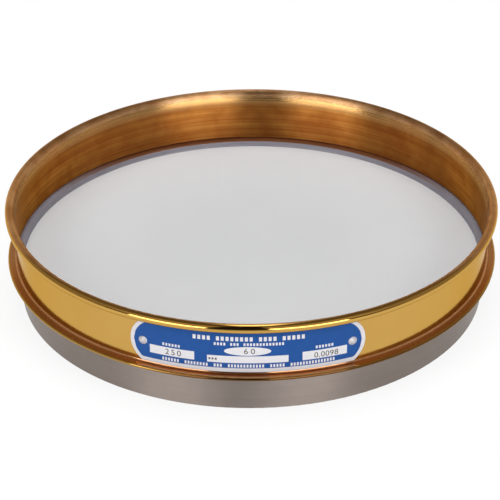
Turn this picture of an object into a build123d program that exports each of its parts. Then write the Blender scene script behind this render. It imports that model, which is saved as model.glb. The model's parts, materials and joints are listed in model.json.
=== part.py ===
"""Half-height 12 inch laboratory test sieve.

A spun brass frame stands on a steel skirt. The frame's wall flares above into
a hollow rolled rim and ends below in a flange, whose edge is folded round the
skirt's flange. Wire cloth lies across the skirt, just under that seam, and
is held all round by a ring of solder. A curved nameplate is riveted to the
front of the wall. Millimetres, +Z up, front at -Y; the origin is the centre
of the circle that the skirt stands on.
"""
from build123d import *
from math import asin, degrees, radians, cos, sin
import os

# ---- driving dimensions --------------------------------------------------
# frame, spun from brass sheet
frame_inner_radius = 152.4
frame_sheet = 0.75
rim_flare_radius = 20.0
rim_flare_angle = 15.0
rim_roll_diameter = 5.8
rim_roll_gap = 0.4

# shoulder, the folded seam that sits on the rim of the sieve below
shoulder_height = 24.4
shoulder_projection = 5.45
shoulder_fillet = 1.0
fold_return = 2.4

# skirt, spun from steel sheet, which enters the frame of the sieve below
nesting_clearance = 1.9
skirt_sheet = 0.75
skirt_shoulder_fillet = 1.5
skirt_edge_rounding = 0.2
flange_end_clearance = 0.08

# wire cloth, whose depth is measured from the top of the rim
cloth_depth = 41.3
cloth_below_shoulder = 2.9
cloth_thickness = 0.25
cloth_edge_margin = 0.35

# solder
solder_reach_over_cloth = 1.15
solder_coat = 0.45
solder_foot_height = 1.7
solder_end_angle = 50.0
solder_least_gap = 0.15
solder_underside_height = 2.0
solder_underside_width = 1.6
solder_contact_gap = 0.02

# nameplate and its rivets
plate_width = 140.2
plate_end_bulge = 5.8
plate_corner_cut = 0.8
plate_thickness = 0.5
plate_to_rim_gap = 1.0
plate_to_bend_gap = 0.35
plate_wall_clearance = 0.04
rivet_from_plate_end = 7.59
rivet_head_radius = 2.8
rivet_head_height = 1.0
rivet_shank_radius = 1.6
rivet_tail_depth = 0.45
rivet_tail_recess = 0.02
rivet_hole_clearance = 0.06
rivet_seat_clearance = 0.03

# ---- sizes that follow ---------------------------------------------------
cloth_top = shoulder_height - cloth_below_shoulder
cloth_bottom = cloth_top - cloth_thickness
overall_height = cloth_top + cloth_depth

frame_outer_radius = frame_inner_radius + frame_sheet
wall_middle_radius = frame_inner_radius + frame_sheet / 2

rim_roll_radius = rim_roll_diameter / 2
rim_middle_radius = rim_roll_radius - frame_sheet / 2
rim_centre_height = overall_height - rim_roll_radius
# the wall flares a little before it rolls over into the rim
flare_turn = radians(rim_flare_angle)
flare_reach = rim_flare_radius * (1 - cos(flare_turn))
rim_start_height = rim_centre_height + rim_middle_radius * sin(flare_turn)
wall_head_height = rim_start_height - rim_flare_radius * sin(flare_turn)
rim_centre_radius = wall_middle_radius + flare_reach + rim_middle_radius * cos(flare_turn)
# the roll closes until its edge lies beside the wall
roll_reach = rim_centre_radius - frame_outer_radius - rim_roll_gap
rim_roll_angle = 270 + degrees(asin(roll_reach / rim_roll_radius)) - rim_flare_angle

# the fold holds the skirt's flange between two layers of brass
fold_half_height = frame_sheet + skirt_sheet / 2
fold_middle_radius = (frame_sheet + skirt_sheet) / 2
seam_height = shoulder_height + fold_half_height
shoulder_outer_radius = frame_outer_radius + shoulder_projection
fold_centre_radius = shoulder_outer_radius - fold_half_height
flange_middle_height = seam_height + fold_middle_radius
wall_bend_radius = shoulder_fillet + frame_sheet / 2
wall_bend_height = flange_middle_height + wall_bend_radius
wall_bend_centre = wall_middle_radius + wall_bend_radius

skirt_outer_radius = frame_inner_radius - nesting_clearance
skirt_inner_radius = skirt_outer_radius - skirt_sheet
skirt_middle_radius = skirt_outer_radius - skirt_sheet / 2
skirt_bend_radius = skirt_shoulder_fillet + skirt_sheet / 2
skirt_bend_height = seam_height - skirt_bend_radius
skirt_bend_centre = skirt_middle_radius + skirt_bend_radius
skirt_flange_radius = fold_centre_radius - flange_end_clearance

cloth_radius = skirt_inner_radius - cloth_edge_margin
solder_inner_radius = skirt_inner_radius - solder_reach_over_cloth

plate_inner_radius = frame_outer_radius + plate_wall_clearance
plate_outer_radius = plate_inner_radius + plate_thickness
plate_top = rim_centre_height - rim_roll_radius - plate_to_rim_gap
plate_bottom = wall_bend_height + plate_to_bend_gap
plate_height = plate_top - plate_bottom
plate_middle_height = plate_top - plate_height / 2
rivet_sideways = plate_width / 2 - rivet_from_plate_end
rivet_angle = degrees(asin(rivet_sideways / plate_outer_radius))


def revolved(face):
    """Solid of a section drawn with x as the radius and y as the height."""
    return revolve(Plane.XZ * face, Axis.Z)


def bent_sheet(path, thickness):
    """Section of a sheet that follows a path along its middle."""
    return trace(path, thickness)


def frame_section():
    """Wall with the rim flared and rolled at the top and the folded flange below."""
    wall_foot = (wall_middle_radius, wall_bend_height)
    wall_head = (wall_middle_radius, wall_head_height)
    wall = Line(wall_foot, wall_head)
    flare = JernArc(wall_head, (0, 1), rim_flare_radius, -rim_flare_angle)
    rim = JernArc(flare @ 1, flare % 1, rim_middle_radius, -rim_roll_angle)
    bend = JernArc(wall_foot, (0, -1), wall_bend_radius, 90)
    fold_start = (fold_centre_radius, flange_middle_height)
    flange = Line(bend @ 1, fold_start)
    fold = JernArc(fold_start, (1, 0), fold_middle_radius, -180)
    tongue = Line(fold @ 1, fold @ 1 - Vector(fold_return, 0))
    path = Curve() + [rim, flare, wall, bend, flange, fold, tongue]
    return bent_sheet(path, frame_sheet)


def skirt_section():
    """Plain skirt with a flange bent out at the top."""
    skirt_head = (skirt_middle_radius, skirt_bend_height)
    wall = Line((skirt_middle_radius, 0), skirt_head)
    bend = JernArc(skirt_head, (0, 1), skirt_bend_radius, -90)
    flange = Line(bend @ 1, (skirt_flange_radius, seam_height))
    path = Curve() + [wall, bend, flange]
    return bent_sheet(path, skirt_sheet)


def solder_section():
    """Ring of solder from the cloth, over the skirt's bend, to the wall."""
    inner_bend = wall_bend_radius + frame_sheet / 2 + solder_contact_gap
    skirt_bend = skirt_bend_radius + skirt_sheet / 2 + solder_contact_gap
    flange_top = seam_height + skirt_sheet / 2 + solder_contact_gap
    bend_centre = Vector(wall_bend_centre, wall_bend_height)
    skirt_centre = Vector(skirt_bend_centre, skirt_bend_height)
    # angles on the wall's bend, from its start down to the flange
    least_gap_angle = degrees(asin(1 - solder_least_gap / inner_bend))

    def on_wall_bend(angle):
        turn = radians(angle)
        return bend_centre - Vector(cos(turn), sin(turn)) * inner_bend

    toe = Vector(solder_inner_radius, cloth_top)
    coat_radius = skirt_bend + solder_coat
    coat_foot = skirt_centre - Vector(coat_radius, 0)
    coat_middle = skirt_centre + Vector(-coat_radius, coat_radius) / 2**0.5
    coat_top = skirt_centre + Vector(0, coat_radius)
    side = skirt_inner_radius - solder_contact_gap
    wall_edge = on_wall_bend(solder_end_angle)
    wall_middle = on_wall_bend((solder_end_angle + least_gap_angle) / 2)
    wall_end = on_wall_bend(least_gap_angle)
    flange_start = Vector(skirt_bend_centre, flange_top)
    bend_middle = skirt_centre + Vector(-skirt_bend, skirt_bend) / 2**0.5
    bend_foot = skirt_centre - Vector(skirt_bend, 0)
    under_foot = Vector(side, cloth_bottom - solder_underside_height)
    under_toe = Vector(cloth_radius - solder_underside_width, cloth_bottom)
    slot_bottom = Vector(cloth_radius, cloth_bottom)
    slot_top = Vector(cloth_radius, cloth_top)
    foot_top = Vector(coat_foot.X, cloth_top + solder_foot_height)
    outline = Curve() + [
        TangentArc(foot_top, toe, tangent=(0, -1)),
        Line(foot_top, coat_foot),
        ThreePointArc(coat_foot, coat_middle, coat_top),
        Line(coat_top, wall_edge),
        ThreePointArc(wall_edge, wall_middle, wall_end),
        Line(wall_end, Vector(wall_end.X, flange_top)),
        Line(Vector(wall_end.X, flange_top), flange_start),
        ThreePointArc(flange_start, bend_middle, bend_foot),
        Line(bend_foot, under_foot),
        Line(under_foot, under_toe),
        Line(under_toe, slot_bottom),
        Line(slot_bottom, slot_top),
        Line(slot_top, toe),
    ]
    return make_face(outline)


def rivet():
    """Rivet along +X: domed head on the plate, tail set flush in the wall."""
    seat = plate_outer_radius + rivet_seat_clearance
    tail = frame_inner_radius + rivet_tail_recess
    crown = (0, seat + rivet_head_height)
    rim = (rivet_head_radius, seat)
    dome_radius = (rivet_head_radius**2 + rivet_head_height**2) / (2 * rivet_head_height)
    outline = Curve() + [
        RadiusArc(crown, rim, dome_radius),
        Polyline(
            rim,
            (rivet_shank_radius, seat),
            (rivet_shank_radius, tail + rivet_tail_depth),
            (rivet_shank_radius + rivet_tail_depth, tail),
            (0, tail),
            crown,
        ),
    ]
    return Rot(0, 90, 0) * revolved(make_face(outline))


def rivet_places():
    """Turns about the axis that bring +X to each end of the nameplate."""
    return {"left": -90 - rivet_angle, "right": -90 + rivet_angle}


def placed_on_wall(shape, azimuth):
    """Carry a shape made along +X to the plate's middle height."""
    return Pos(0, 0, plate_middle_height) * Rot(0, 0, azimuth) * shape


def rivet_holes():
    """Holes for both rivets, countersunk where they open inside the frame."""
    radius = rivet_shank_radius + rivet_hole_clearance
    depth = 4 * (plate_outer_radius - frame_inner_radius)
    hole = Pos(frame_outer_radius, 0, 0) * Rot(0, 90, 0) * Cylinder(radius, depth)
    reach = rivet_tail_depth + rivet_tail_recess
    wide = radius + 2 * reach
    sink = Cone(wide, radius, 2 * reach)
    hole += Pos(frame_inner_radius, 0, 0) * Rot(0, 90, 0) * sink
    left, right = (placed_on_wall(hole, turn) for turn in rivet_places().values())
    return left + right


def nameplate():
    """Curved plate with bulged ends, cut from a sleeve round the wall."""
    half_width = plate_width / 2
    half_height = plate_height / 2
    corner = half_width - plate_end_bulge
    top_right = (corner, half_height - plate_corner_cut)
    bottom_right = (corner, plate_corner_cut - half_height)
    bottom_left = (-corner, plate_corner_cut - half_height)
    top_left = (-corner, half_height - plate_corner_cut)
    flat = corner - plate_corner_cut
    outline = Curve() + [
        ThreePointArc(top_right, (half_width, 0), bottom_right),
        Polyline(bottom_right, (flat, -half_height), (-flat, -half_height), bottom_left),
        ThreePointArc(bottom_left, (-half_width, 0), top_left),
        Polyline(top_left, (-flat, half_height), (flat, half_height), top_right),
    ]
    front = Plane.XZ * make_face(outline)
    block = extrude(front, amount=2 * plate_outer_radius, dir=(0, -1, 0))
    sleeve = Cylinder(plate_outer_radius, plate_height)
    sleeve -= Cylinder(plate_inner_radius, plate_height)
    return Pos(0, 0, plate_middle_height) * (sleeve & block) - rivet_holes()


def skirt():
    """Skirt ring with its lower edge deburred."""
    ring = revolved(skirt_section())
    lower_edges = ring.edges().group_by(Axis.Z)[0]
    return fillet(lower_edges, skirt_edge_rounding)


def wire_cloth():
    """Woven cloth as one disc, stretched flat."""
    disc = Cylinder(cloth_radius, cloth_thickness, align=(Align.CENTER, Align.CENTER, Align.MIN))
    return Pos(0, 0, cloth_bottom) * disc


pieces = {
    "frame": revolved(frame_section()) - rivet_holes(),
    "skirt": skirt(),
    "wire_cloth": wire_cloth(),
    "solder_fillet": revolved(solder_section()),
    "nameplate": nameplate(),
}
for side, azimuth in rivet_places().items():
    pieces[f"nameplate_rivet_{side}"] = placed_on_wall(rivet(), azimuth)

os.makedirs("parts", exist_ok=True)
for name, shape in pieces.items():
    export_step(shape, f"parts/{name}.step")
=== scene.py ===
"""Looks of a half-height 12 inch test sieve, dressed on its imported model.

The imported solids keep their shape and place: the spun brass frame, the steel
skirt, the wire cloth, the ring of solder, the nameplate and its rivets. This
script gives each one its finish, lays the print on the nameplate as thin
skins that follow its curve, and stands the sieve on a pale table in a plain
white studio. Metres, +Z up, the nameplate at -Y.
"""
import json
import math

import bpy
import numpy as np
from mathutils import Matrix, Vector


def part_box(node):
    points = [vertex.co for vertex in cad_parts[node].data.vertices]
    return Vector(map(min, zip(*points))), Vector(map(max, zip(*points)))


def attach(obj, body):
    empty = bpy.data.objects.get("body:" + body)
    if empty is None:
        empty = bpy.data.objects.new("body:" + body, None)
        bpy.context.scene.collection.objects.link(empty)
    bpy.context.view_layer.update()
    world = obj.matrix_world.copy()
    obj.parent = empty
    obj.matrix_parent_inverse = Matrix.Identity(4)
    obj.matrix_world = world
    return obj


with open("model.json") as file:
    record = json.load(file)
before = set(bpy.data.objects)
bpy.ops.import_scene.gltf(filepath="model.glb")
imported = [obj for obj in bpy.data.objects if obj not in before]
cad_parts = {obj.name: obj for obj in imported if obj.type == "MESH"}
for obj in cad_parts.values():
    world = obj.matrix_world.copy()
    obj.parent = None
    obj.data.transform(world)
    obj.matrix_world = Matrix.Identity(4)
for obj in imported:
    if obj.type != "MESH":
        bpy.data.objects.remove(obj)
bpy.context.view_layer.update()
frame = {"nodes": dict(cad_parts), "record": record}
nodes = frame["nodes"]

MM = 0.001

# ---- the camera ------------------------------------------------------------
sensor_width = 36.0
lens_length = 158.4
camera_distance = 1441.9 * MM
camera_elevation = math.radians(30.26)
camera_turn = math.radians(1.08)
camera_roll = math.radians(-0.35)
look_height = 22.41 * MM
look_sideways = -1.0 * MM

# ---- sizes read from the solids --------------------------------------------
frame_low, frame_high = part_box("frame")
plate_low, plate_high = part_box("nameplate")
solder_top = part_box("solder_fillet")[1][2]
plate_radius = -plate_low[1]
plate_middle = (plate_low[2] + plate_high[2]) / 2
plate_half_height = (plate_high[2] - plate_low[2]) / 2
plate_half_width = (plate_high[0] - plate_low[0]) / 2
frame_bore = frame["record"]["mounts"][0]["dims"]["r_mm"] * MM
rim_top = frame_high[2]

# ---- sizes of the brass sheet and of its bends -----------------------------
sheet = 0.75 * MM
roll_radius = 2.9 * MM
flare_radius = 20.0 * MM
flare_height = 7.4 * MM
seam_thickness = 2.25 * MM
seam_reach = 158.6 * MM
roll_middle = frame_high[0] - roll_radius
flare_foot = rim_top - flare_height
seam_top = frame_low[2] + seam_thickness

# ---- print on the nameplate: places along the curve and above the table ----
skin_thickness = 0.03 * MM
stroke_growth = 0.004
end_bulge = 5.8 * MM
end_corner = 0.8 * MM
border_end = 2.2 * MM
border_foot = 2.7 * MM
border_head = 0.8 * MM


# ---- small tools for shader trees ------------------------------------------
class Tree:
    """A shader tree with short calls to add, set and join its nodes."""

    def __init__(self, tree):
        self.tree = tree
        self.nodes = tree.nodes
        self.links = tree.links

    def add(self, kind, inputs=(), **settings):
        """Add a node; inputs maps a socket's name or number to a value or a socket."""
        made = self.nodes.new(kind)
        for name, value in settings.items():
            setattr(made, name, value)
        for key, value in dict(inputs).items():
            self.feed(made.inputs[key], value)
        return made

    def feed(self, socket, value):
        """Join another socket to this one, or write a plain value."""
        if isinstance(value, bpy.types.NodeSocket):
            self.links.new(value, socket)
        else:
            socket.default_value = value

    def math(self, operation, *values, clamp=False):
        """One sum: the operation on one, two or three values."""
        made = self.add("ShaderNodeMath", enumerate(values), operation=operation)
        made.use_clamp = clamp
        return made.outputs[0]

    def times(self, first, second):
        """One value times the other."""
        return self.math("MULTIPLY", first, second)

    def plus(self, first, second):
        """Both values added up."""
        return self.math("ADD", first, second)

    def minus(self, first, second):
        """The first value less the second."""
        return self.math("SUBTRACT", first, second)

    def step(self, value, start, end, low=0.0, high=1.0):
        """Smooth step from low to high as value goes from start to end."""
        places = {0: value, 1: start, 2: end, 3: low, 4: high}
        made = self.add("ShaderNodeMapRange", places, interpolation_type="SMOOTHSTEP")
        return made.outputs[0]

    def ramp(self, value, start, end, low, high):
        """Straight ramp from low to high as value goes from start to end."""
        places = {0: value, 1: start, 2: end, 3: low, 4: high}
        return self.add("ShaderNodeMapRange", places).outputs[0]

    def blend(self, share, first, second):
        """Colour between two colours, by share."""
        made = self.add("ShaderNodeMix", data_type="RGBA")
        self.feed(made.inputs[0], share)
        self.feed(made.inputs[6], first)
        self.feed(made.inputs[7], second)
        return made.outputs[2]

    def shade(self, colour, amount):
        """Colour multiplied by a grey amount."""
        made = self.add("ShaderNodeVectorMath", operation="SCALE")
        self.feed(made.inputs[0], colour)
        self.feed(made.inputs[3], amount)
        return made.outputs[0]

    def noise(self, vector, scale, detail=2.0, roughness=0.5, **more):
        """Cloudy noise between 0 and 1."""
        places = {"Vector": vector, "Scale": scale, "Detail": detail, "Roughness": roughness}
        places.update(more)
        size = "4D" if "W" in places else "3D"
        return self.add("ShaderNodeTexNoise", places, noise_dimensions=size).outputs[0]

    def reach(self, x, y):
        """Distance from the axis at two sideways distances."""
        return self.math("SQRT", self.plus(self.times(x, x), self.times(y, y)))

    def place(self):
        """Object coordinates and their three parts."""
        where = self.add("ShaderNodeTexCoord").outputs["Object"]
        parts = self.add("ShaderNodeSeparateXYZ", {0: where}).outputs
        return where, parts[0], parts[1], parts[2]


def rgb(red, green, blue):
    """Linear colour of a colour written in 0 to 255 steps."""
    steps = np.array([red, green, blue]) / 255
    linear = np.where(steps <= 0.04045, steps / 12.92, ((steps + 0.055) / 1.055) ** 2.4)
    return (*linear.tolist(), 1.0)


def new_group(name, inputs, outputs):
    """Empty shader node group with float inputs (name: value) and typed outputs."""
    tree = bpy.data.node_groups.new(name, "ShaderNodeTree")
    for label, value in inputs.items():
        socket = tree.interface.new_socket(label, in_out="INPUT", socket_type="NodeSocketFloat")
        socket.default_value = value
    for label, kind in outputs.items():
        tree.interface.new_socket(label, in_out="OUTPUT", socket_type=kind)
    make = Tree(tree)
    return make, make.add("NodeGroupInput").outputs, make.add("NodeGroupOutput").inputs


def turned_lines_group():
    """Fine lines that a lathe leaves round a spun piece.

    The profile place, radius plus height, is one axis of a four-way noise and
    the direction from the axis, slowed right down, is the others. So lines run
    round the piece, break up slowly, and have no seam.
    """
    make, given, out = new_group(
        "Turned lines",
        {"Lines per mm": 3.0, "Length": 1.5},
        {"Fine": "NodeSocketFloat", "Broad": "NodeSocketFloat"},
    )
    _, x, y, z = make.place()
    radius = make.reach(x, y)
    flat = make.add("ShaderNodeCombineXYZ", {0: x, 1: y}).outputs[0]
    around = make.add("ShaderNodeVectorMath", {0: flat}, operation="NORMALIZE").outputs[0]
    along = make.shade(around, given["Length"])
    profile = make.times(make.plus(radius, z), 1 / MM)
    fine = make.times(profile, given["Lines per mm"])
    broad = make.times(fine, 0.22)
    make.feed(out["Fine"], make.noise(along, 1.0, 3.0, 0.6, W=fine))
    make.feed(out["Broad"], make.noise(along, 0.7, 2.0, 0.5, W=broad))
    return make.tree


def handling_group():
    """Slow clouds, with small spots, that handling and age leave on metal."""
    make, given, out = new_group(
        "Handling marks",
        {"Cloud size mm": 30.0, "Spot size mm": 4.0},
        {"Clouds": "NodeSocketFloat", "Spots": "NodeSocketFloat"},
    )
    where = make.place()[0]
    cloud_scale = make.math("DIVIDE", 1 / MM, given["Cloud size mm"])
    spot_scale = make.math("DIVIDE", 1 / MM, given["Spot size mm"])
    make.feed(out["Clouds"], make.noise(where, cloud_scale, 3.0, 0.55))
    spots = make.noise(where, spot_scale, 2.0, 0.6)
    make.feed(out["Spots"], make.step(spots, 0.60, 0.74))
    return make.tree


turned_lines = turned_lines_group()
handling_marks = handling_group()


def new_finish(name, **values):
    """Material with a Principled shader, its plain values set on its own sockets."""
    material = bpy.data.materials.new(name)
    material.use_nodes = True
    make = Tree(material.node_tree)
    shader = next(n for n in make.nodes if n.type == "BSDF_PRINCIPLED")
    for label, value in values.items():
        shader.inputs[label.replace("_", " ")].default_value = value
    return material, make, shader


def lines_on(make, lines_per_mm, length):
    """Fine and broad turned lines."""
    made = make.add("ShaderNodeGroup", node_tree=turned_lines)
    made.inputs["Lines per mm"].default_value = lines_per_mm
    made.inputs["Length"].default_value = length
    return made.outputs["Fine"], made.outputs["Broad"]


def marks_on(make, cloud_size, spot_size=4.0):
    """Clouds and spots of handling."""
    made = make.add("ShaderNodeGroup", node_tree=handling_marks)
    made.inputs["Cloud size mm"].default_value = cloud_size
    made.inputs["Spot size mm"].default_value = spot_size
    return made.outputs["Clouds"], made.outputs["Spots"]


def clouds_on(make, cloud_size):
    """Clouds of handling alone."""
    return marks_on(make, cloud_size)[0]


def bumped(make, shader, height, depth_mm):
    """Raise the surface by height times a depth in mm."""
    depth = depth_mm * MM
    made = make.add("ShaderNodeBump", {"Strength": 1.0, "Distance": depth, "Height": height})
    make.feed(shader.inputs["Normal"], made.outputs[0])


def crosswise(make, shader):
    """Turned lines spread a highlight across themselves, so up and down the wall."""
    tangent = make.add("ShaderNodeTangent", direction_type="RADIAL", axis="Z")
    make.feed(shader.inputs["Tangent"], tangent.outputs[0])
    shader.inputs["Anisotropic Rotation"].default_value = 0.25


def window(make, value, low, high, soft):
    """One between low and high, falling softly to nothing outside."""
    rise = make.step(value, low - soft, low + soft)
    fall = make.step(value, high - soft, high + soft, 1.0, 0.0)
    return make.times(rise, fall)


# ---- finishes --------------------------------------------------------------
brass_depth = 0.045 * MM


def brown_side(make, radius, y, z):
    """Where the brass is brown satin: its inner side, and the crown of the roll.

    The inner side is where the radius is less than that of the sheet's middle,
    which bends outwards above the straight wall by the height squared over
    twice the flare's radius. The crown is the top of the roll, as far out as
    its middle in front and a little further out elsewhere.
    """
    past = make.math("MAXIMUM", make.minus(z, flare_foot), 0.0)
    bend = make.math("DIVIDE", make.times(past, past), 2 * flare_radius)
    from_middle = make.minus(make.minus(radius, frame_bore + sheet / 2), bend)
    inner_side = make.step(from_middle, 0.15 * MM, -0.15 * MM)
    further = make.step(y, -120 * MM, -60 * MM, 0.0, 1.9 * MM)
    crown = make.times(
        make.step(make.minus(radius, further), roll_middle + 1.0 * MM, roll_middle - 0.5 * MM),
        make.step(z, rim_top - 4.6 * MM, rim_top - 3.6 * MM),
    )
    return make.math("MAXIMUM", inner_side, crown), crown


def polished_brass(make, clouds, seam, x, radius, z):
    """Polished colour, pinker on the seam, with painted shade round the seam's rounded edge: a dark
    painted reflection, fainter on the left.
    """
    polished = make.blend(clouds, rgb(204, 163, 88), rgb(197, 154, 78))
    polished = make.blend(make.times(seam, 0.8), polished, rgb(202, 148, 112))
    # painted shade: the seam's rounded outer edge is painted dark, a painted reflection, fainter
    # towards the left
    edge = make.times(
        make.step(z, seam_top - 0.1 * MM, seam_top - 0.7 * MM),
        make.step(radius, seam_reach - 2.6 * MM, seam_reach - 1.8 * MM),
    )
    painted_edge_shade = make.times(edge, make.step(x, -75 * MM, -35 * MM, 0.3, 0.95))
    return make.blend(painted_edge_shade, polished, rgb(92, 58, 32))


def satin_brass(make, fine, broad, clouds, smudges, pits, painted_flare_highlight, crown, z):
    """Brown satin: streaked, clouded, lighter in a painted highlight band on the flare, darker
    towards the foot as painted shade, and mottled on the crown.
    """
    streak = make.plus(make.times(broad, 0.5), make.times(fine, 0.5))
    streaked = make.ramp(streak, 0.36, 0.64, 0.0, 1.0)
    satin = make.blend(streaked, rgb(160, 89, 39), rgb(208, 144, 67))
    satin = make.blend(make.ramp(clouds, 0.42, 0.62, 0.0, 0.55), satin, rgb(140, 78, 32))
    satin = make.blend(make.ramp(smudges, 0.46, 0.66, 0.0, 0.35), satin, rgb(140, 68, 26))
    # painted highlight: the flare band is painted paler and lighter, standing in for the screens'
    # reflection
    satin = make.blend(make.times(painted_flare_highlight, 0.4), satin, rgb(252, 218, 148))
    # painted shade: the inner wall is painted darker towards its foot
    satin = make.shade(satin, make.step(z, 27 * MM, 46 * MM, 0.78, 1.0))
    patches = make.ramp(smudges, 0.38, 0.62, 0.0, 1.0)
    mottled = make.blend(patches, rgb(226, 186, 142), rgb(196, 150, 106))
    mottled = make.blend(make.times(pits, 0.35), mottled, rgb(140, 98, 60))
    return make.blend(make.times(crown, 0.75), satin, mottled)


def brass_relief(make, fine, pits, inside, crown, radius, z):
    """Height of the turned lines and pits, as a share of the relief's depth.

    Beyond the wall the seam's top leans up outwards, and the flare leans
    further out than the sheet does. Both slopes only turn the shading.
    """
    seam_slope = 0.08 / brass_depth
    flare_slope = -0.15 / brass_depth
    lean_foot = flare_foot - 1.0 * MM
    lean_height = 4.2 * MM
    height = make.times(fine, make.ramp(inside, 0.0, 1.0, 0.012, 1.0))
    height = make.plus(height, make.times(make.times(pits, crown), 0.8))
    beyond = make.math("MAXIMUM", make.minus(radius, frame_bore + sheet + 0.15 * MM), 0.0)
    rise = make.times(beyond, make.step(z, 50 * MM, 30 * MM, 0.0, seam_slope))
    height = make.plus(height, rise)
    lean = make.ramp(z, lean_foot, lean_foot + lean_height, 0.0, flare_slope * lean_height)
    return make.plus(height, lean)


def brass_finish():
    """Spun brass: polished outside, brown satin inside and over the rim's roll.

    A matt film of dust lies on the seam: thickest in the corner against the wall as a painted
    highlight of that corner, and next to none in front as painted shade under the plate.
    """
    edge_tint = rgb(236, 216, 183)
    material, make, shader = new_finish(
        "Spun brass", Metallic=1.0, Anisotropic=1.0, Specular_Tint=edge_tint
    )
    _, x, y, z = make.place()
    radius = make.reach(x, y)
    inside, crown = brown_side(make, radius, y, z)
    fine, broad = lines_on(make, 3.2, 1.6)
    clouds = clouds_on(make, 34.0)
    smudges, pits = marks_on(make, 15.0, 0.8)
    seam = make.times(
        make.step(z, seam_top + 1.7 * MM, seam_top + 0.7 * MM),
        make.step(radius, seam_reach - 0.4 * MM, seam_reach - 1.4 * MM),
    )
    # painted highlight band on the flare below the roll; the brushed finish is also a little
    # smoother there
    painted_flare_highlight = make.times(
        make.step(z, flare_foot - 5.0 * MM, flare_foot + 2.5 * MM),
        make.step(z, rim_top - 1.8 * MM, rim_top - 3.4 * MM),
    )

    polished = polished_brass(make, clouds, seam, x, radius, z)
    satin = satin_brass(make, fine, broad, clouds, smudges, pits, painted_flare_highlight, crown, z)
    make.feed(shader.inputs["Base Color"], make.blend(inside, polished, satin))

    # painted highlight: more matt film in the corner against the wall; painted shade: less of it in
    # front, under the plate
    corner = make.step(radius, frame_bore + 2.4 * MM, frame_bore + 1.2 * MM, 0.09, 0.34)
    dust_and_painted_light = make.times(corner, make.step(y, -154 * MM, -115 * MM, 0.15, 1.0))
    make.feed(shader.inputs["Metallic"], make.minus(1.0, make.times(seam, dust_and_painted_light)))

    polish = make.plus(make.ramp(fine, 0.3, 0.7, 0.07, 0.11), make.times(seam, 0.06))
    brushed = make.minus(make.ramp(fine, 0.3, 0.7, 0.29, 0.39), make.times(painted_flare_highlight, 0.08))
    finish = make.add("ShaderNodeMix", {0: inside, 2: polish, 3: brushed})
    make.feed(shader.inputs["Roughness"], finish.outputs[0])
    height = brass_relief(make, fine, pits, inside, crown, radius, z)
    bumped(make, shader, height, brass_depth / MM)
    crosswise(make, shader)
    return material


def steel_finish():
    """Satin steel of the skirt, with close turned lines."""
    material, make, shader = new_finish("Satin steel", Metallic=1.0, Anisotropic=0.8)
    fine, broad = lines_on(make, 4.0, 2.2)
    clouds = clouds_on(make, 22.0)
    colour = make.blend(broad, rgb(138, 128, 122), rgb(150, 139, 132))
    colour = make.blend(make.ramp(clouds, 0.4, 0.7, 0.0, 0.35), colour, rgb(132, 122, 116))
    make.feed(shader.inputs["Base Color"], colour)
    make.feed(shader.inputs["Roughness"], make.ramp(fine, 0.3, 0.7, 0.38, 0.46))
    bumped(make, shader, fine, 0.0025)
    crosswise(make, shader)
    return material


def cloth_finish():
    """Plain weave of fine bright wire, 0.305 mm from wire to wire."""
    material, make, shader = new_finish("Woven wire", Metallic=0.0)
    where, x, y, _ = make.place()
    pitch = 0.305 * MM
    turn = math.pi / pitch
    warp_phase = make.times(x, turn)
    weft_phase = make.times(y, turn)
    warp = make.math("ABSOLUTE", make.math("SINE", warp_phase))
    weft = make.math("ABSOLUTE", make.math("SINE", weft_phase))
    crossing = make.times(make.math("SINE", warp_phase), make.math("SINE", weft_phase))
    over = make.step(crossing, -0.2, 0.2)
    height = make.add("ShaderNodeMix", {0: over, 2: warp, 3: weft}).outputs[0]

    stretched_x = make.add("ShaderNodeMapping", {0: where, 3: (700.0, 14.0, 1.0)}).outputs[0]
    stretched_y = make.add("ShaderNodeMapping", {0: where, 3: (14.0, 700.0, 1.0)}).outputs[0]
    warp_streak = make.noise(stretched_x, 1.0, 2.0)
    weft_streak = make.noise(stretched_y, 1.0, 2.0)
    streaks = make.plus(warp_streak, weft_streak)
    clouds = clouds_on(make, 60.0)

    wire = make.blend(make.ramp(height, 0.2, 1.0, 0.0, 1.0), rgb(185, 186, 187), rgb(198, 199, 200))
    wire = make.shade(wire, make.ramp(streaks, 0.7, 1.3, 0.99, 1.01))
    wire = make.shade(wire, make.ramp(clouds, 0.3, 0.7, 0.985, 1.01))
    # painted light: the cloth is darker in the middle and lighter towards the wall, evening out the
    # shade of the wall
    painted_light_to_wall = make.step(make.reach(x, y), frame_bore * 0.3, frame_bore, 0.93, 1.04)
    wire = make.shade(wire, painted_light_to_wall)
    make.feed(shader.inputs["Base Color"], wire)
    shader.inputs["Roughness"].default_value = 0.7
    shader.inputs["Specular IOR Level"].default_value = 0.2
    bumped(make, shader, height, 0.02)
    return material


def solder_finish():
    """Dull tin solder, wiped round by hand, its thin upper edge brown with flux at the rear."""
    material, make, shader = new_finish("Tin solder")
    _, _, y, z = make.place()
    broad = lines_on(make, 1.2, 5.0)[1]
    clouds = clouds_on(make, 9.0)
    colour = make.blend(clouds, rgb(122, 120, 129), rgb(146, 144, 153))
    flux = make.times(
        make.step(z, solder_top - 1.8 * MM, solder_top - 1.2 * MM),
        make.step(y, 60 * MM, 130 * MM),
    )
    make.feed(shader.inputs["Base Color"], make.blend(flux, colour, rgb(122, 76, 46)))
    make.feed(shader.inputs["Metallic"], make.ramp(flux, 0.0, 1.0, 0.35, 0.7))
    make.feed(shader.inputs["Roughness"], make.ramp(clouds, 0.3, 0.7, 0.45, 0.6))
    height = make.plus(clouds, make.times(broad, 0.3))
    bumped(make, shader, height, 0.06)
    return material


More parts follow.
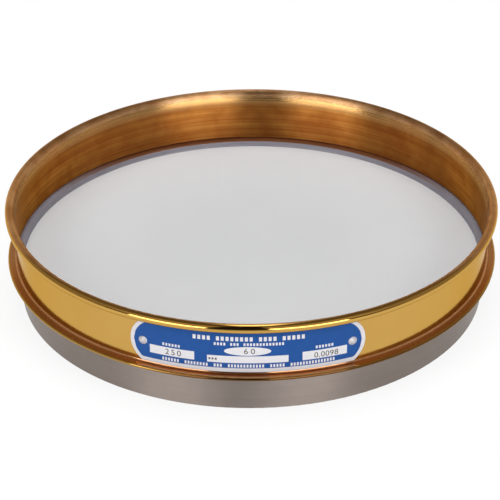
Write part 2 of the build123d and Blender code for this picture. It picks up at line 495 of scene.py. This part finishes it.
def painted_finish(name, dark, light, roughness):
    """Smooth baked print with slight clouds in its colour and gloss."""
    material, make, shader = new_finish(name, Metallic=0.0, Specular_IOR_Level=0.15)
    clouds = clouds_on(make, 6.0)
    make.feed(shader.inputs["Base Color"], make.blend(clouds, dark, light))
    make.feed(shader.inputs["Roughness"], make.ramp(clouds, 0.3, 0.7, roughness, roughness + 0.08))
    bumped(make, shader, clouds, 0.01)
    return material


def rivet_finish():
    """Pale satin aluminium with small pits."""
    material, make, shader = new_finish("Rivet metal", Metallic=0.6)
    clouds, spots = marks_on(make, 2.0, 0.7)
    colour = make.blend(clouds, rgb(176, 174, 180), rgb(214, 211, 214))
    colour = make.blend(make.times(spots, 0.5), colour, rgb(130, 128, 134))
    make.feed(shader.inputs["Base Color"], colour)
    make.feed(shader.inputs["Roughness"], make.ramp(clouds, 0.3, 0.7, 0.4, 0.55))
    bumped(make, shader, clouds, 0.03)
    return material


finishes = {
    "frame": brass_finish(),
    "skirt": steel_finish(),
    "wire_cloth": cloth_finish(),
    "solder_fillet": solder_finish(),
    "nameplate": painted_finish("Plate white", rgb(214, 212, 218), rgb(228, 226, 230), 0.4),
    "nameplate_rivet_left": rivet_finish(),
}
finishes["nameplate_rivet_right"] = finishes["nameplate_rivet_left"]
for name, finish in finishes.items():
    solid = nodes[name]
    solid.data.materials.clear()
    solid.data.materials.append(finish)

enamel_blue = painted_finish("Blue enamel", rgb(24, 76, 146), rgb(34, 86, 158), 0.3)
enamel_white = painted_finish("White print", rgb(222, 220, 224), rgb(232, 231, 234), 0.45)
ink_brown = painted_finish("Stamped ink", rgb(74, 66, 60), rgb(96, 88, 82), 0.6)


# ---- print on the nameplate ------------------------------------------------
def on_plate(along, height, lift):
    """Points at an arc length along the plate, a height and a lift off its face.

    The arc length over the plate's radius is an angle from the front; the
    point lies at that angle, at the plate's radius plus the lift.
    """
    angle = along / plate_radius
    reach = plate_radius + lift
    return np.stack([reach * np.sin(angle), -reach * np.cos(angle), height + 0 * angle], axis=-1)


def new_piece(name, points, faces, finish):
    """Mesh piece at the origin that rides on the sieve."""
    mesh = bpy.data.meshes.new(name)
    mesh.from_pydata(points.tolist(), [], faces)
    mesh.update()
    piece = bpy.data.objects.new(name, mesh)
    bpy.context.scene.collection.objects.link(piece)
    mesh.materials.append(finish)
    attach(piece, "root")


def skin(name, start, end, low, high, lift, finish, columns=48, rows=6):
    """Thin closed skin between two edges that are functions of the arc length.

    Columns run evenly from start to end and rows evenly between low(s) and
    high(s); the face lies a skin's thickness above the back, and a band of
    quads closes the rim between them.
    """
    along = np.linspace(start, end, columns)
    share = np.linspace(0, 1, rows)
    s = np.repeat(along[:, None], rows, axis=1)
    z = low(along)[:, None] * (1 - share) + high(along)[:, None] * share
    back = on_plate(s, z, lift).reshape(-1, 3)
    front = on_plate(s, z, lift + skin_thickness).reshape(-1, 3)
    grid = np.arange(columns * rows).reshape(columns, rows)
    quads = np.stack([grid[:-1, :-1], grid[1:, :-1], grid[1:, 1:], grid[:-1, 1:]], axis=-1)
    quads = quads.reshape(-1, 4)
    loop = np.concatenate([grid[:, 0], grid[-1, 1:], grid[-2::-1, -1], grid[0, -2:0:-1]])
    after = np.roll(loop, -1)
    count = columns * rows
    band = np.stack([loop, after, after + count, loop + count], axis=-1)
    faces = np.concatenate([quads[:, ::-1], quads + count, band])
    new_piece(name, np.concatenate([back, front]), faces.tolist(), finish)


def level(height):
    """Edge at one height."""
    return lambda along: np.full_like(along, height)


def plate_edge(inset_end, inset_height, side):
    """Edge of the plate's shape, drawn in from its ends and from its foot or head.

    Seen from the front, each end is an arc that stands out by end_bulge; its
    half height is the arc's, or the plate's where that is less.
    """
    chord = plate_half_height - end_corner
    bend = (chord**2 + end_bulge**2) / (2 * end_bulge)
    centre = plate_half_width - bend

    def edge(along):
        across = np.abs(plate_radius * np.sin(along / plate_radius))
        past = np.maximum(across - centre, 0)
        room = np.sqrt(np.maximum((bend - inset_end) ** 2 - past**2, 0))
        return plate_middle + side * np.minimum(room, plate_half_height - inset_height)

    return edge


def rectangle(name, start, end, low, high, lift, finish):
    """Plain field between two arc lengths and two heights, in mm."""
    skin(name, start * MM, end * MM, level(low * MM), level(high * MM), lift, finish, 24, 3)


def oval(name, middle, height, half_length, half_height, lift, finish):
    """Oval field: its half height is that of an ellipse at each arc length."""
    ends = half_length * 0.9999

    def side(sign):
        def edge(along):
            share = 1 - (along / MM - middle) ** 2 / half_length**2
            return (height + sign * half_height * np.sqrt(np.maximum(share, 0))) * MM
        return edge

    start, end = (middle - ends) * MM, (middle + ends) * MM
    skin(name, start, end, side(-1), side(1), lift, finish, 64, 5)


def digits(name, words, middle, height, tall, spread, lift):
    """Plain digits bent to the plate: letter space becomes arc length and height."""
    curve = bpy.data.curves.new(name, "FONT")
    curve.body = words
    curve.align_x = "CENTER"
    curve.offset = stroke_growth
    curve.space_character = spread
    curve.resolution_u = 4
    temporary = bpy.data.objects.new(name + "_text", curve)
    bpy.context.scene.collection.objects.link(temporary)
    bpy.context.view_layer.update()
    mesh = bpy.data.meshes.new_from_object(temporary)
    bpy.data.objects.remove(temporary)
    points = np.empty(len(mesh.vertices) * 3)
    mesh.vertices.foreach_get("co", points)
    points = points.reshape(-1, 3)
    faces = [tuple(face.vertices) for face in mesh.polygons]
    size = tall * MM / (points[:, 1].max() - points[:, 1].min())
    along = middle * MM + points[:, 0] * size
    above = height * MM + (points[:, 1] - points[:, 1].min()) * size
    new_piece(name, on_plate(along, above, lift), faces, ink_brown)
    bpy.data.meshes.remove(mesh)


blue_lift = 0.005 * MM
field_lift = blue_lift + skin_thickness
ink_lift = field_lift + 1.2 * skin_thickness
blue_end = plate_radius * math.asin((plate_half_width - border_end) / plate_radius) - 0.01 * MM
skin(
    "plate_blue_field",
    -blue_end,
    blue_end,
    plate_edge(border_end, border_foot, -1),
    plate_edge(border_end, border_head, 1),
    blue_lift,
    enamel_blue,
    140,
    9,
)
rectangle("plate_left_window", -59.9, -31.9, 34.7, 40.5, field_lift, enamel_white)
rectangle("plate_long_window", -24.1, 24.4, 34.4, 39.2, field_lift, enamel_white)
rectangle("plate_right_window", 32.9, 60.6, 34.4, 40.3, field_lift, enamel_white)
oval("plate_oval_window", 0.1, 42.7, 14.05, 3.0, field_lift, enamel_white)
digits("plate_digits_left", "250", -45.0, 35.6, 3.9, 1.35, ink_lift)
digits("plate_digits_oval", "60", 1.2, 40.8, 3.9, 1.5, ink_lift)
digits("plate_digits_right", "0.0098", 47.5, 35.1, 3.8, 1.05, ink_lift)

# rows of small blocks where a plate carries its lines of lettering: start, end,
# foot and head in mm, blocks in each group, and a block's width and gap in mm
small_row = (-23.2, -18.0, 36.2, 37.5, (3,), 1.1, 0.8)
block_rows = {
    "plate_row_head": (-32.6, 34.1, 49.7, 52.6, (4, 8, 4, 5), 1.8, 1.05),
    "plate_row_second": (-19.9, 21.7, 46.5, 48.4, (4, 3, 13), 1.15, 0.75),
    "plate_row_left": (-51.6, -40.1, 41.6, 43.5, (6,), 1.15, 0.8),
    "plate_row_right": (40.9, 52.2, 41.6, 43.5, (6,), 1.15, 0.8),
    "plate_row_foot": (-51.9, 52.7, 31.3, 33.4, (6, 8, 3, 12, 5, 15), 1.1, 0.75),
}


def block_row(name, start, end, low, high, words, width, gap, lift=field_lift, finish=enamel_white):
    """Row of upright blocks in groups, spread evenly between two arc lengths.

    Each block is a closed box: its four back corners and the same four a
    skin's thickness further out.
    """
    letters = sum(words)
    spaces = len(words) - 1
    used = letters * width + (letters - len(words)) * gap
    wide = (end - start - used) / spaces if spaces else gap
    gaps = np.concatenate([[gap] * (word - 1) + [wide] for word in words])
    places = start + np.concatenate([[0], np.cumsum(width + gaps)[:-1]])
    corners = np.array([(0, 0), (1, 0), (1, 1), (0, 1)])
    along = (places[:, None] + corners[None, :, 0] * width) * MM
    height = (low + corners[None, :, 1] * (high - low)) * MM + 0 * along
    back = on_plate(along, height, lift - 0.5 * skin_thickness)
    front = on_plate(along, height, lift + skin_thickness)
    points = np.concatenate([back, front], axis=1).reshape(-1, 3)
    sides = [(3, 2, 1, 0), (4, 5, 6, 7), (0, 1, 5, 4), (1, 2, 6, 5), (2, 3, 7, 6), (3, 0, 4, 7)]
    first = np.arange(letters)[:, None, None] * 8
    faces = (np.array(sides)[None] + first).reshape(-1, 4)
    new_piece(name, points, faces.tolist(), finish)


for name, row in block_rows.items():
    block_row(name, *row)
block_row("plate_row_small", *small_row, field_lift + skin_thickness, ink_brown)


# ---- the table and the studio ----------------------------------------------
# bearings are degrees round from straight ahead, levels are shares of white
gap_left, gap_right = -18.5, 8.5
screens_left, screens_right = -52.5, 42.5
screen_edge = 0.8
screen_level = 5.8
strip_level = 3.0
fill_level = 0.38
table_drop = 0.2 * MM
table_glow = 0.88


def bearing(make, x, y):
    """Angle round from straight ahead, in degrees."""
    return make.math("DEGREES", make.math("ARCTAN2", x, make.times(y, -1.0)))


def front_screens(make, azimuth):
    """Where the two bright screens stand in front, left and right of a gap."""
    left = window(make, azimuth, screens_left, gap_left, screen_edge)
    right = window(make, azimuth, gap_right, screens_right, screen_edge)
    return make.plus(left, right)


def table_top():
    """Pale table, wide enough to fill every view, and clear from below.

    Camera rays and polished metal see it white. Polished metal also sees it a
    little brighter towards the screens, and dim far off in the gap.
    """
    reach = 30.0
    corners = [(-reach, -reach, 0), (reach, -reach, 0), (reach, reach, 0), (-reach, reach, 0)]
    mesh = bpy.data.meshes.new("table_top")
    mesh.from_pydata(corners, [], [(0, 1, 2, 3)])
    table = bpy.data.objects.new("table_top", mesh)
    bpy.context.scene.collection.objects.link(table)
    table.location.z = -table_drop
    material, make, shader = new_finish("Table white", Roughness=0.9)
    shader.inputs["Base Color"].default_value = (0.86, 0.86, 0.86, 1)
    shader.inputs["Specular IOR Level"].default_value = 0.0
    path = make.add("ShaderNodeLightPath").outputs
    mirrored = path["Is Glossy Ray"]
    seen = make.math("MAXIMUM", path["Is Camera Ray"], mirrored)
    where, x, y, _ = make.place()
    azimuth = bearing(make, x, y)
    away = make.add("ShaderNodeVectorMath", {0: where}, operation="LENGTH").outputs["Value"]
    lit = make.times(front_screens(make, azimuth), make.step(away, 0.24, 0.42))
    gleam = make.times(make.times(lit, 0.3), mirrored)
    gap = window(make, azimuth, gap_left, gap_right, screen_edge)
    far = make.times(gap, make.step(away, 0.25, 0.42))
    gloom = make.times(make.times(far, -0.75), mirrored)
    level = make.plus(1.0, make.plus(gleam, gloom))
    glow = make.add("ShaderNodeEmission", {0: (1, 1, 1, 1), 1: level}).outputs[0]
    share = make.times(seen, table_glow)
    top = make.add("ShaderNodeMixShader", {0: share, 1: shader.outputs[0], 2: glow}).outputs[0]
    under = make.add("ShaderNodeNewGeometry").outputs["Backfacing"]
    clear = make.add("ShaderNodeBsdfTransparent").outputs[0]
    one_sided = make.add("ShaderNodeMixShader", {0: under, 1: top, 2: clear}).outputs[0]
    output = next(n for n in make.nodes if n.type == "OUTPUT_MATERIAL")
    make.feed(output.inputs[0], one_sided)
    mesh.materials.append(material)


def dim_room(make, azimuth, elevation):
    """Level of the dim room that polished metal sees, darkest in the gap in front."""
    off_axis = make.math("ABSOLUTE", azimuth)
    gap = window(make, azimuth, gap_left, gap_right, 3.0)
    upper = window(make, elevation, 22.0, 64.0, 4.0)
    raised = make.times(upper, make.ramp(gap, 0.0, 1.0, 0.45, 0.01))
    front = make.plus(raised, make.ramp(gap, 0.0, 1.0, 0.12, 0.01))
    beside = make.step(elevation, 40.0, 70.0, 0.36, 0.15)
    rear = make.step(elevation, 8.0, 45.0, 0.9, 0.15)
    share = make.step(off_axis, 58.0, 78.0)
    room = make.add("ShaderNodeMix", {0: share, 2: front, 3: beside}).outputs[0]
    share = make.step(off_axis, 105.0, 145.0)
    return make.add("ShaderNodeMix", {0: share, 2: room, 3: rear}).outputs[0]


def bright_lights(make, azimuth, elevation, x, y, z):
    """Level of the two low screens in front and of the narrow lamp overhead."""
    low = make.step(elevation, 17.0, 21.0, screen_level, 0.0)
    screens = make.times(front_screens(make, azimuth), low)
    across = window(make, x, -0.06, 0.06, 0.03)
    over = window(make, y, 0.1, 0.6, 0.05)
    above = make.step(z, 0.5, 0.6, 0.0, strip_level)
    return make.plus(screens, make.times(make.times(across, over), above))


def grey(make, level):
    """Colour with the same level in red, green and blue."""
    return make.add("ShaderNodeCombineXYZ", {0: level, 1: level, 2: level}).outputs[0]


def studio_world():
    """White studio: camera rays see plain white, polished metal sees the room.

    The room is dim above the white table, and darkest in the gap in front,
    between two low bright screens. A narrow lamp hangs overhead.
    """
    world = bpy.data.worlds.new("Studio")
    bpy.context.scene.world = world
    world.use_nodes = True
    make = Tree(world.node_tree)
    direction = make.add("ShaderNodeTexCoord").outputs["Generated"]
    x, y, z = make.add("ShaderNodeSeparateXYZ", {0: direction}).outputs
    azimuth = bearing(make, x, y)
    elevation = make.math("DEGREES", make.math("ARCSINE", z))
    room = make.shade(rgb(255, 238, 216)[:3], dim_room(make, azimuth, elevation))
    lights = grey(make, bright_lights(make, azimuth, elevation, x, y, z))
    seen = make.add("ShaderNodeVectorMath", {0: room, 1: lights}, operation="ADD").outputs[0]

    path = make.add("ShaderNodeLightPath").outputs
    camera, polished = path["Is Camera Ray"], path["Is Glossy Ray"]
    other = make.minus(1.0, make.math("MAXIMUM", camera, polished))
    plain = grey(make, make.plus(camera, make.times(other, fill_level)))
    mirrored = make.shade(seen, polished)
    colour = make.add("ShaderNodeVectorMath", {0: plain, 1: mirrored}, operation="ADD")
    background = next(n for n in make.nodes if n.type == "BACKGROUND")
    make.feed(background.inputs[0], colour.outputs[0])
    background.inputs[1].default_value = 1.0


def soft_lamp(name, place, size, watts):
    """Square lamp that faces the sieve and lights it without a hard reflection."""
    data = bpy.data.lights.new(name, "AREA")
    data.shape = "SQUARE"
    data.size = size
    data.energy = watts
    lamp = bpy.data.objects.new(name, data)
    bpy.context.scene.collection.objects.link(lamp)
    lamp.location = place
    lamp.rotation_euler = (Vector((0, 0, 0.03)) - Vector(place)).to_track_quat("-Z", "Y").to_euler()
    lamp.visible_glossy = False


def set_camera():
    """Camera at its elevation, turned about the sieve's axis and rolled a little."""
    data = bpy.data.cameras.new("camera")
    data.sensor_width = sensor_width
    data.lens = lens_length
    data.clip_end = 100
    camera = bpy.data.objects.new("camera", data)
    bpy.context.scene.collection.objects.link(camera)
    ahead = Vector((0, math.cos(camera_elevation), -math.sin(camera_elevation)))
    right = Vector((1, 0, 0))
    up = right.cross(ahead)
    side = right * math.cos(camera_roll) + up * math.sin(camera_roll)
    top = up * math.cos(camera_roll) - right * math.sin(camera_roll)
    place = Vector((look_sideways, 0, look_height)) - ahead * camera_distance
    axes = Matrix((side, top, -ahead)).transposed().to_4x4()
    turn = Matrix.Rotation(camera_turn, 4, "Z")
    camera.matrix_world = turn @ Matrix.Translation(place) @ axes
    bpy.context.scene.camera = camera


table_top()
studio_world()
soft_lamp("lamp_left", (-1.6, -1.5, 1.6), 1.2, 22)
soft_lamp("lamp_right", (1.6, -1.5, 1.6), 1.2, 22)
soft_lamp("lamp_over", (0.0, 0.1, 2.6), 1.4, 44)
set_camera()
bpy.context.scene.view_settings.view_transform = "Standard"
